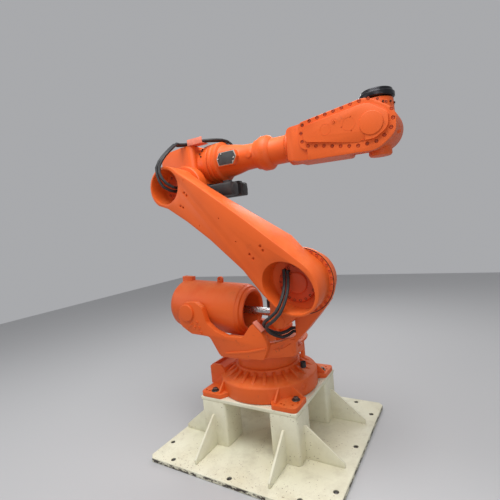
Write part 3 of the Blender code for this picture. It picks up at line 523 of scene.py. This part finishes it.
# castings: softened copies of the CAD shapes
castingWidths = {
    "foot_casting": 0.0035, "turntable_casting": 0.004, "lower_arm_casting": 0.003,
    "elbow_housing": 0.006, "forearm_tube": 0.0015, "forearm_collar": 0.0015,
    "forearm_extender": 0.0015, "wrist_housing": 0.004, "wrist_cover_near": 0.003,
    "wrist_cover_far": 0.003, "wrist_tilt_housing": 0.003, "balancer_cylinder": 0.002,
    "balancer_lug": 0.002, "balancer_end_cap": 0.0015, "trunnion_cover_near": 0.002,
    "trunnion_cover_far": 0.002, "axis1_motor_bracket": 0.002, "axis2_motor": 0.003,
    "axis1_motor": 0.003, "axis3_motor": 0.003, "axis4_motor": 0.003,
    "elbow_rear_cover": 0.002, "foot_connector_panel": 0.002, "axis1_seal_ring": 0.001,
    "hatch_cover": 0.001, "balancer_rod_eye": 0.002, "harness_bracket": 0.001,
    "harness_clamp": 0.001, "pedestal_top_frame": 0.002, "post_near_left": 0.002,
    "post_near_right": 0.002, "post_far_left": 0.002, "post_far_right": 0.002,
    "pedestal_plate": 0.0015, "wrist_disc": 0.0006, "axis2_gear_flange": 0.001,
    "axis3_gear_flange": 0.001, "balancer_rod": 0.001, "tool_flange": 0.0008,
    "lower_harness_a": 0.0, "lower_harness_b": 0.0, "upper_harness_a": 0.0,
    "upper_harness_b": 0.0, "arm_harness_a": 0.0, "arm_harness_b": 0.0,
    "axis1_gearbox": 0.001, "balancer_pin": 0.0005}
elbowLook = {"corner": (-0.368, -0.148, 1.950), "curve": 0.040, "tall": 0.20, "past": 0.02,
             "steps": 8}


def elbowCornerCutter(look):
    # what the round upright corner of the elbow's block leaves over
    x, y, z = look["corner"]
    curve = look["curve"]
    outline = [Vector((x + look["past"], y - look["past"], z)),
               Vector((x - curve, y - look["past"], z))]
    for k in range(look["steps"] + 1):
        angle = math.radians(90 * k / look["steps"])
        outline.append(Vector((x - curve * (1 - math.sin(angle)),
                               y + curve * (1 - math.cos(angle)), z)))
    outline.append(Vector((x + look["past"], y + curve, z)))
    return slab(outline, (0, 0, look["tall"]))


shells = {}
for nodeName, width in castingWidths.items():
    shell = castCopy(nodeName)
    if nodeName == "elbow_housing":
        cutAway(shell, elbowCornerCutter(elbowLook))
    if width:
        soften(shell, width)
    shells[nodeName] = shell
print("shells ready")

# wrist: screws round the near cover, in shallow counterbores
wristLook = {"screws": 26, "first": 0.3, "face": -0.184, "bore": 0.0108, "sink": 0.006,
             "coverEnd": -0.417, "coverLow": -0.066, "coverHigh": 0.104, "endCurve": 0.046,
             "front": -0.25, "back": -0.10, "leftReach": 0.60, "halfTall": 0.25,
             "slopeEnd": -0.036,
             "slope": [(-0.1998, -0.040), (-0.215, -0.040), (-0.215, -0.110), (-0.1842, -0.090)],
             "raised": [(-0.384, -0.024, 0.035), (-0.090, -0.083, 0.10), (0.015, -0.082, 0.08),
                        (0.086, -0.036, 0.06), (0.086, 0.068, 0.06), (0.005, 0.113, 0.08),
                        (-0.100, 0.106, 0.25), (-0.384, 0.062, 0.035)],
             "track": [(-0.402, -0.040, 0.045), (-0.090, -0.102, 0.12), (0.020, -0.100, 0.10),
                       (0.108, -0.040, 0.08), (0.106, 0.080, 0.08), (0.010, 0.134, 0.10),
                       (-0.100, 0.128, 0.30), (-0.402, 0.082, 0.040)]}


def endCutter(end, curve, low, high, front, back):
    # takes all left of a rounded upright end away, between two depths
    reach = wristLook["leftReach"]
    tall = wristLook["halfTall"]
    outline = [Vector((wristX - reach, front, forearmZ - tall))]
    for sign, edge in ((-1, low), (1, high)):
        arc = []
        for k in range(9):
            angle = math.radians(90 * k / 8)
            arc.append(Vector((wristX + end + curve * (1 - math.cos(angle)), front,
                               forearmZ + edge - sign * curve * (1 - math.sin(angle)))))
        edgeSpot = Vector((wristX + end + curve, front, forearmZ + sign * tall))
        outline += [edgeSpot] + arc[::-1] if sign < 0 else arc + [edgeSpot]
    outline.append(Vector((wristX - reach, front, forearmZ + tall)))
    return slab(outline, (0, back - front, 0))


cutAway(shells["wrist_cover_near"],
        endCutter(wristLook["coverEnd"], wristLook["endCurve"], wristLook["coverLow"],
                  wristLook["coverHigh"], wristLook["front"], wristLook["back"]))

# the raised face keeps clear of the screws and slopes off along its lower edge
frameCutter = slab([Vector((wristX + x, wristLook["front"], forearmZ + z))
                    for x, z in ((-0.7, -0.3), (0.3, -0.3), (0.3, 0.3), (-0.7, 0.3))],
                   (0, wristLook["face"] - wristLook["front"], 0))
cutAway(frameCutter, slab([Vector((wristX + p.x, wristLook["front"] - 0.01, forearmZ + p.y))
                           for p in rounded(wristLook["raised"], 6)], (0, 0.1, 0)))
cutAway(shells["wrist_cover_near"], frameCutter)
cutAway(shells["wrist_cover_near"],
        slab([Vector((wristX - wristLook["leftReach"], y, forearmZ + z))
              for y, z in wristLook["slope"]],
             (wristLook["leftReach"] + wristLook["slopeEnd"], 0, 0)))
wristSpots = [Vector((wristX + p.x, wristLook["face"], forearmZ + p.y))
              for p in evenSpots(rounded(wristLook["track"], 8), wristLook["screws"],
                                 wristLook["first"])]
drill(shells["wrist_cover_near"], wristSpots, near, wristLook["bore"], wristLook["sink"])
template = capScrew(0.0074, 0.0058, 0.0038, 0.0035)
bottomSpots = [spot + Vector((0, wristLook["sink"] - 0.0003, 0)) for spot in wristSpots]
strew(template, bottomSpots, near, "wrist_cover_screws", rustyScrew, "forearm")

# plugs, dots and shallow circles on the wrist's raised face
faceLook = {"face": -0.1997, "dots": [(-0.105, 0.056), (-0.157, 0.011), (-0.105, -0.020)],
            "dotRadius": 0.0036, "circles": [(-0.250, 0.019, 0.032), (-0.198, 0.051, 0.016),
                                             (-0.118, 0.020, 0.036)],
            "plug": (-0.054, -0.068), "plugRadius": 0.0125, "plugFoot": -0.1838,
            "lineWide": 0.0016, "lineHigh": 0.0010, "dotDepth": 0.004}


def onWrist(x, z, y):
    return Vector((wristX + x, y, forearmZ + z))


drill(shells["wrist_cover_near"], [onWrist(x, z, faceLook["face"]) for x, z in faceLook["dots"]],
      near, faceLook["dotRadius"], faceLook["dotDepth"], 12)


def thinRing(radius, wide, high, sides=40):
    # flat washer standing on z = 0
    clearChoice()
    bpy.ops.mesh.primitive_cylinder_add(vertices=sides, radius=radius, depth=high,
                                        location=(0, 0, high / 2))
    piece = bpy.context.object
    settle(piece)
    chooseFaces(piece, lambda face: abs(face.normal.z) > 0.9)
    bpy.ops.mesh.inset(thickness=wide, depth=0)
    bpy.ops.mesh.bridge_edge_loops()
    bpy.ops.object.mode_set(mode="OBJECT")
    smooth(piece, 40)
    return piece


rings = []
for x, z, radius in faceLook["circles"]:
    template = thinRing(radius, faceLook["lineWide"], faceLook["lineHigh"])
    rings.append(scatter(template, [onWrist(x, z, faceLook["face"] + 0.0003)], near))
    dropTemplate(template)
dress(joinAll(rings), "wrist_face_circles", orange, "forearm")
template = capScrew(faceLook["plugRadius"], 0.007, 0.009, 0.003, 28)
plugX, plugZ = faceLook["plug"]
strew(template, [onWrist(plugX, plugZ, faceLook["plugFoot"])], near,
      "wrist_oil_plug", orangeWorn, "forearm")
template = capScrew(0.0065, 0.005, 0.0034, 0.0025)
x, z, radius = faceLook["circles"][1]
strew(template, [onWrist(x, z, faceLook["face"] + 0.0002)], near,
      "wrist_face_screw", orangeWorn, "forearm")

# the flange's threaded holes and the screws round the neck
flangeLook = {"holes": 10, "track": 0.068, "top": 0.215, "recess": 0.0032, "turned": 12,
              "holeRadius": 0.0052, "holeDepth": 0.012,
              "neckHigh": 0.128, "neckRadius": 0.0905, "neckScrews": 12}
flangeTop = forearmZ + flangeLook["top"]
flangeSpots = ringSpots((wristX, 0, flangeTop - flangeLook["recess"]), flangeLook["track"],
                        flangeLook["holes"], flangeLook["turned"], (1, 0, 0), (0, 1, 0))
drill(shells["tool_flange"], flangeSpots, (0, 0, 1), flangeLook["holeRadius"],
      flangeLook["holeDepth"], 14)
template = capScrew(0.0062, 0.006, 0.0034, 0.003, 14)
rim = ringSpots((wristX, 0, forearmZ + flangeLook["neckHigh"]), flangeLook["neckRadius"],
                flangeLook["neckScrews"], 0, (1, 0, 0), (0, 1, 0))
outward = [(spot - Vector((wristX, 0, spot.z))) for spot in rim]
strew(template, rim, outward, "neck_screws", darkBolt, "wrist")

# four screws low on the tilting head's front
template = capScrew(0.0095, 0.010, 0.0052, 0.004, 20)
lugSpots = [Vector((wristX + 0.1095, -0.060, forearmZ - 0.018)),
            Vector((wristX + 0.1075, -0.020, forearmZ - 0.036)),
            Vector((wristX + 0.1065, -0.060, forearmZ - 0.046)),
            Vector((wristX + 0.1095, 0.020, forearmZ - 0.010))]
strew(template, lugSpots, (1, 0, -0.2),
      "tilt_cover_screws", orangeWorn, "wrist")

# lower arm: pairs of threaded holes in shallow pads, and single ones
armLook = {"pairs": [(0.052, 0.917), (0.048, 0.890), (-0.037, 0.897), (-0.034, 0.874),
                     (0.005, 0.304), (-0.002, 0.270), (0.088, 0.272), (0.077, 0.244)],
           "singles": [(0.062, 0.603), (0.013, 0.423), (0.118, 0.965), (-0.060, 0.700)],
           "radius": 0.0068, "small": 0.0042, "padRadius": 0.0105, "padDepth": 0.0016,
           "face": -0.402, "deep": 0.012, "smallDeep": 0.010}
pairSpots = [onArm(x, armLook["face"], z) for x, z in armLook["pairs"]]
drill(shells["lower_arm_casting"], pairSpots, near, armLook["padRadius"], armLook["padDepth"])
drill(shells["lower_arm_casting"], pairSpots, near, armLook["radius"], armLook["deep"], 16)
drill(shells["lower_arm_casting"],
      [onArm(x, armLook["face"], z) for x, z in armLook["singles"]],
      near, armLook["small"], armLook["smallDeep"], 14)

# screws of both gear flanges, seen inside the arm's holes
gearLook = {"face": -0.2735, "bigTrack": 0.105, "bigCount": 18, "smallTrack": 0.084,
            "smallCount": 12}
template = capScrew(0.0078, 0.009, 0.0044, 0.004)
spots = ringSpots(onArm(0, gearLook["face"], 0), gearLook["bigTrack"],
                  gearLook["bigCount"], 5, armAcross, armAlong)
dress(scatter(template, spots, near), "axis2_gear_screws", darkBolt, "lower_arm")
spots = ringSpots(onArm(0, gearLook["face"], armLength), gearLook["smallTrack"],
                  gearLook["smallCount"], 10, armAcross, armAlong)
strew(template, spots, near, "axis3_gear_screws", darkBolt, "lower_arm")

# foot: ribs on the sloping ledge, pad bolts and small holes
footLook = {"ribs": 24, "inner": 0.2335, "outer": 0.318, "wide": 0.022, "low": 0.462,
            "high": 0.528}
clearChoice()
bpy.ops.mesh.primitive_cube_add(size=1)
rib = bpy.context.object
rib.scale = (footLook["outer"] - footLook["inner"], footLook["wide"],
             footLook["high"] - footLook["low"])
rib.location = ((footLook["outer"] + footLook["inner"]) / 2, 0,
                (footLook["high"] + footLook["low"]) / 2)
settle(rib)
choose(rib)
bpy.ops.object.mode_set(mode="EDIT")
bpy.ops.mesh.select_all(action="SELECT")
bpy.ops.mesh.bisect(plane_co=(footLook["outer"], 0, footLook["low"] + 0.013),
                    plane_no=(0.55, 0, 0.835), use_fill=True, clear_outer=True)
bpy.ops.object.mode_set(mode="OBJECT")
soften(rib, 0.0035, 2, 40)
ribCopies = []
for index in range(footLook["ribs"]):
    copy = bpy.data.objects.new("rib", rib.data.copy())
    bpy.context.scene.collection.objects.link(copy)
    copy.data.transform(Matrix.Rotation(2 * math.pi * (index + 0.5) / footLook["ribs"], 4, "Z"))
    ribCopies.append(copy)
ribs = dress(joinAll(ribCopies), "foot_ledge_ribs", orangeWorn, "base")
smooth(ribs)
dropTemplate(rib)

padLook = {"top": 0.3903, "sunk": 0.0002, "holeRadius": 0.0075, "holeDepth": 0.014,
           "bolts": [(-0.268, -0.303), (0.312, -0.240), (0.312, 0.240), (-0.268, 0.303)],
           "holes": [(-0.336, -0.312), (-0.304, -0.318), (0.246, -0.316), (0.268, -0.322),
                     (0.318, -0.306), (0.338, -0.270), (-0.336, 0.312), (-0.304, 0.318),
                     (0.318, 0.306), (0.338, 0.270)]}
drill(shells["foot_casting"], [(x, y, padLook["top"]) for x, y in padLook["holes"]],
      (0, 0, 1), padLook["holeRadius"], padLook["holeDepth"])
template = hexBolt(0.0175, 0.015, 0.027, 0.005)
strew(template, [(x, y, padLook["top"] - padLook["sunk"]) for x, y in padLook["bolts"]],
      (0, 0, 1),
      "foot_bolts", steel, "base", 1.0)

# rear box of the foot, whose near wall stands beside the left pad
boxLook = {"x": (-0.372, -0.250), "y": 0.205, "low": 0.388, "high": 0.532, "front": -0.215,
           "hollowX": (-0.345, -0.262), "hollowY": 0.180, "hollowDeep": 0.030}
rearOutline = [Vector((boxLook["x"][0], -boxLook["y"], boxLook["low"])),
               Vector((boxLook["x"][0], -boxLook["y"], boxLook["high"] - 0.016)),
               Vector((boxLook["x"][0] + 0.020, -boxLook["y"], boxLook["high"])),
               Vector((boxLook["x"][1] - 0.030, -boxLook["y"], boxLook["high"])),
               Vector((boxLook["x"][1], -boxLook["y"], boxLook["high"] - 0.030)),
               Vector((boxLook["front"], -boxLook["y"], boxLook["low"]))]
rearBox = slab(rearOutline, (0, 2 * boxLook["y"], 0))
hollowLeft, hollowRight = boxLook["hollowX"]
hollow = slab([Vector((x, y * boxLook["hollowY"], boxLook["high"] - boxLook["hollowDeep"]))
               for x, y in ((hollowLeft, -1), (hollowLeft, 1), (hollowRight, 1),
                            (hollowRight, -1))], (0, 0, 0.1))
cutAway(rearBox, hollow)
soften(rearBox, 0.006, 3, 40)
smooth(rearBox)
dress(rearBox, "foot_rear_box", orangeWorn, "base")

# end stop of axis 1: a bar on the turntable above a dark round pin on the ledge
stopLook = {"place": (0.290, -0.022), "half": (0.012, 0.014), "low": 0.585, "high": 0.694,
            "pinRadius": 0.019, "pinHigh": 0.038, "pinFoot": 0.515}
stopX, stopY = stopLook["place"]
halfX, halfY = stopLook["half"]
bar = slab([Vector((stopX + x * halfX, stopY + y * halfY, stopLook["low"]))
            for x, y in ((-1, -1), (1, -1), (1, 1), (-1, 1))],
           (0, 0, stopLook["high"] - stopLook["low"]))
soften(bar, 0.005, 3, 40)
smooth(bar)
dress(bar, "axis1_stop_bar", orangeWorn, "turntable")
template = capScrew(stopLook["pinRadius"], stopLook["pinHigh"], 0.011, 0.006, 28)
strew(template, [(stopX - 0.006, stopY, stopLook["pinFoot"])], (0.05, -0.10, 1),
      "axis1_stop_pin", rubber, "base")

# painted plug in the cable port on the foot's near side
portLook = {"turned": -21, "start": 0.2985, "high": 0.430, "radius": 0.0192, "long": 0.046}
template = capScrew(portLook["radius"], portLook["long"], 0.010, 0.002, 32)
portAngle = math.radians(portLook["turned"])
portWay = Vector((math.cos(portAngle), math.sin(portAngle), 0))
strew(template, [portWay * portLook["start"] + Vector((0, 0, portLook["high"]))], portWay,
      "foot_port_plug", orangeWorn, "base")

# turntable: the near wall's raised diagonal edge and its three-cornered recess
wallNormal = Vector((0.5736, -0.8192, 0))
recess = [Vector((0.207, -0.2830, 0.718)), Vector((0.277, -0.2340, 0.752)),
          Vector((0.305, -0.2152, 0.744)), Vector((0.256, -0.2487, 0.716))]
recess = [spot - wallNormal * 0.005 for spot in recess]
cutAway(shells["turntable_casting"], slab(recess, wallNormal * 0.04))
lipSize = {"thick": 0.005, "tall": 0.013}
lips = []
for route, facing in (([(-0.110, -0.350, 0.681), (0.063, -0.350, 0.706), (0.196, -0.350, 0.741)],
                       Vector((0, -1, 0))),
                      ([(0.2037, -0.3060, 0.7425), (0.2505, -0.2530, 0.7561),
                        (0.324, -0.2012, 0.7740)], wallNormal)):
    lower = [Vector(spot) - facing * 0.001 for spot in route]
    upper = [spot + Vector((0, 0, lipSize["tall"])) for spot in reversed(lower)]
    lip = slab(lower + upper, facing * (lipSize["thick"] + 0.001))
    soften(lip, 0.0022, 2, 40)
    lips.append(lip)
dress(joinAll(lips), "turntable_wall_lip", orange, "turntable")

# pedestal: floor bolts sunk in their holes
plateLook = {"spots": [(-0.580, -0.450), (-0.438, -0.599), (0.007, -0.603), (0.453, -0.591),
                       (0.608, -0.458), (0.603, -0.029), (0.606, 0.393), (0.460, 0.534),
                       (0.007, 0.545), (-0.438, 0.542), (-0.575, 0.393), (-0.575, -0.029)],
             "top": 0.030, "holeRadius": 0.0165, "holeDepth": 0.016, "sunk": 0.0158}
plateSpots = [(x, y, plateLook["top"]) for x, y in plateLook["spots"]]
drill(shells["pedestal_plate"], plateSpots, (0, 0, 1), plateLook["holeRadius"],
      plateLook["holeDepth"], 24)
template = capScrew(0.0125, 0.014, 0.0068, 0.005)
strew(template, [(x, y, z - plateLook["sunk"]) for x, y, z in plateSpots], (0, 0, 1),
      "floor_bolts", steel, "base", 1.0)

# forearm: pale gasket and four screws of the hatch
hatchLook = {"face": -0.1215, "corners": [(0.262, -0.042), (0.370, -0.042), (0.397, 0.002),
                                          (0.384, 0.040), (0.272, 0.040), (0.250, 0.004)],
             "screws": [(0.2585, 0.002), (0.378, -0.030), (0.386, -0.006), (0.286, 0.033)],
             "screwFoot": -0.1269, "middle": (0.322, 0.0), "growth": 1.10}
hatchMiddle = Vector(hatchLook["middle"])
rimOutline = []
for x, z in hatchLook["corners"]:
    grown = hatchMiddle + (Vector((x, z)) - hatchMiddle) * hatchLook["growth"]
    rimOutline.append(Vector((axis3.x + grown.x, hatchLook["face"] + 0.0004, forearmZ + grown.y)))
rimPiece = slab(rimOutline, (0, -0.0030, 0))
soften(rimPiece, 0.0050, 3, 50)
dress(rimPiece, "hatch_gasket", gasket, "forearm")
smooth(rimPiece)
template = capScrew(0.0052, 0.0035, 0.0026, 0.0015, 14)
strew(template, [(axis3.x + x, hatchLook["screwFoot"], forearmZ + z)
                 for x, z in hatchLook["screws"]], near,
      "hatch_screws", brightScrew, "forearm")

# elbow: screws on the throat and the forearm's ring
throatLook = {"radius": 0.1315, "ringAt": 0.7605, "ringRadius": 0.1035, "ringCount": 14,
              "spots": [(0.103, 52), (0.112, 62), (0.112, 40), (0.098, 30), (0.112, 20)]}
template = capScrew(0.0062, 0.006, 0.0034, 0.003, 14)
throatSpots = []
throatNormals = []
for x, angle in throatLook["spots"]:
    radial = Vector((0, -math.cos(math.radians(angle)), math.sin(math.radians(angle))))
    throatSpots.append(Vector((axis3.x + x, 0, forearmZ)) + radial * throatLook["radius"])
    throatNormals.append(radial)
strew(template, throatSpots, throatNormals, "throat_screws", darkBolt, "elbow")
template = capScrew(0.0055, 0.005, 0.0030, 0.0025, 12)
wristRing = ringSpots((axis3.x + throatLook["ringAt"], 0, forearmZ), throatLook["ringRadius"],
                      throatLook["ringCount"], 8, (0, 1, 0), (0, 0, 1))
strew(template, wristRing, (-1, 0, 0), "wrist_ring_screws", darkBolt, "forearm")

# turntable: screws round the hub ring, a thin black ring on its face as painted shade of a
# groove, and screws at the trunnions
hubLook = {"face": -0.2168, "track": 0.192, "count": 30, "grooveShadeFace": -0.2169,
           "grooveShade": 0.2040, "grooveShadeWide": 0.0042, "grooveShadeHigh": 0.0012,
           "trunnion": [(-0.378, -0.3498, 0.868), (-0.326, -0.3498, 0.884),
                        (-0.350, -0.3498, 0.848), (-0.312, -0.3498, 0.846),
                        (-0.300, -0.3498, 0.812)]}
template = capScrew(0.0085, 0.007, 0.0048, 0.004)
hubSpots = ringSpots((axis2.x, hubLook["face"], axis2.z), hubLook["track"], hubLook["count"], 6,
                     (1, 0, 0), (0, 0, 1))
# the hub screws take the darker orange copy, which is painted shade
dress(scatter(template, hubSpots, near), "hub_screws", paintedShadeOrange, "turntable")
# a thin black ring laid on the hub face: painted shade of a groove, not a cut
grooveShade = thinRing(hubLook["grooveShade"], hubLook["grooveShadeWide"], hubLook["grooveShadeHigh"], 72)
strew(grooveShade, [(axis2.x, hubLook["grooveShadeFace"], axis2.z)], near,
      "hub_groove_painted_shade", paintedShadeBlack, "turntable")
strew(template, hubLook["trunnion"], near,
      "trunnion_screws", orangeWorn, "turntable")
print("screws and small parts ready")

for nodeName, shell in shells.items():
    finishShell(shell, nodeName, nodeName + "_shell")

# light, floor and camera
stageLook = {"floor": (0.46, 0.46, 0.465), "world": (0.86, 0.87, 0.90), "worldStrength": 0.46}
clearChoice()
bpy.ops.mesh.primitive_plane_add(size=14, location=(0, 0, -0.0005))
floor = bpy.context.object
floor.name = "studio_floor"
floorPaint = Paint("paleFloor")
floorPaint.put("Base Color", (*stageLook["floor"], 1.0))
floorPaint.put("Roughness", 0.5)
floor.data.materials.append(floorPaint.material)

world = bpy.data.worlds.new("studio")
bpy.context.scene.world = world
world.use_nodes = True
backdrop = world.node_tree.nodes["Background"]
backdrop.inputs["Color"].default_value = (*stageLook["world"], 1.0)
backdrop.inputs["Strength"].default_value = stageLook["worldStrength"]


def softLight(name, place, target, size, power, color=(1, 1, 1)):
    data = bpy.data.lights.new(name, "AREA")
    data.size = size
    data.energy = power
    data.color = color
    lamp = bpy.data.objects.new(name, data)
    lamp.location = place
    lamp.rotation_mode = "QUATERNION"
    lamp.rotation_quaternion = (Vector(target) - Vector(place)).to_track_quat("-Z", "Y")
    bpy.context.scene.collection.objects.link(lamp)


softLight("ceilingPanel", (0.4, -1.2, 4.8), (0.1, 0, 1.0), 2.8, 185)
softLight("frontFill", (2.6, -3.6, 2.0), (0.2, 0, 1.2), 2.4, 26)
softLight("leftFill", (-3.4, -2.0, 2.6), (0, 0, 1.0), 2.2, 24)
softLight("backEdge", (-0.8, 3.4, 3.4), (0, 0, 1.4), 2.0, 45)

view = {"place": (1.287, -2.225, 1.502), "yaw": 31.2, "pitch": 3.81, "roll": -5.63,
        "focal": 362.669, "frame": 500}
yaw, pitch, roll = (math.radians(view[key]) for key in ("yaw", "pitch", "roll"))
forward = Vector((-math.sin(yaw) * math.cos(pitch), math.cos(yaw) * math.cos(pitch),
                  -math.sin(pitch)))
right = Vector((math.cos(yaw), math.sin(yaw), 0))
upward = right.cross(forward)
tiltedRight = right * math.cos(roll) + upward * math.sin(roll)
tiltedUp = upward * math.cos(roll) - right * math.sin(roll)
cameraData = bpy.data.cameras.new("photoCamera")
cameraData.sensor_width = 36
cameraData.lens = 36 * view["focal"] / view["frame"]
cameraData.clip_start = 0.05
camera = bpy.data.objects.new("photoCamera", cameraData)
turn = Matrix((tiltedRight, tiltedUp, -forward)).transposed()
camera.matrix_world = Matrix.Translation(view["place"]) @ turn.to_4x4()
bpy.context.scene.collection.objects.link(camera)
bpy.context.scene.camera = camera
bpy.context.scene.view_settings.view_transform = "Standard"
bpy.context.scene.render.resolution_x = 1000
bpy.context.scene.render.resolution_y = 1000
print("stage ready")
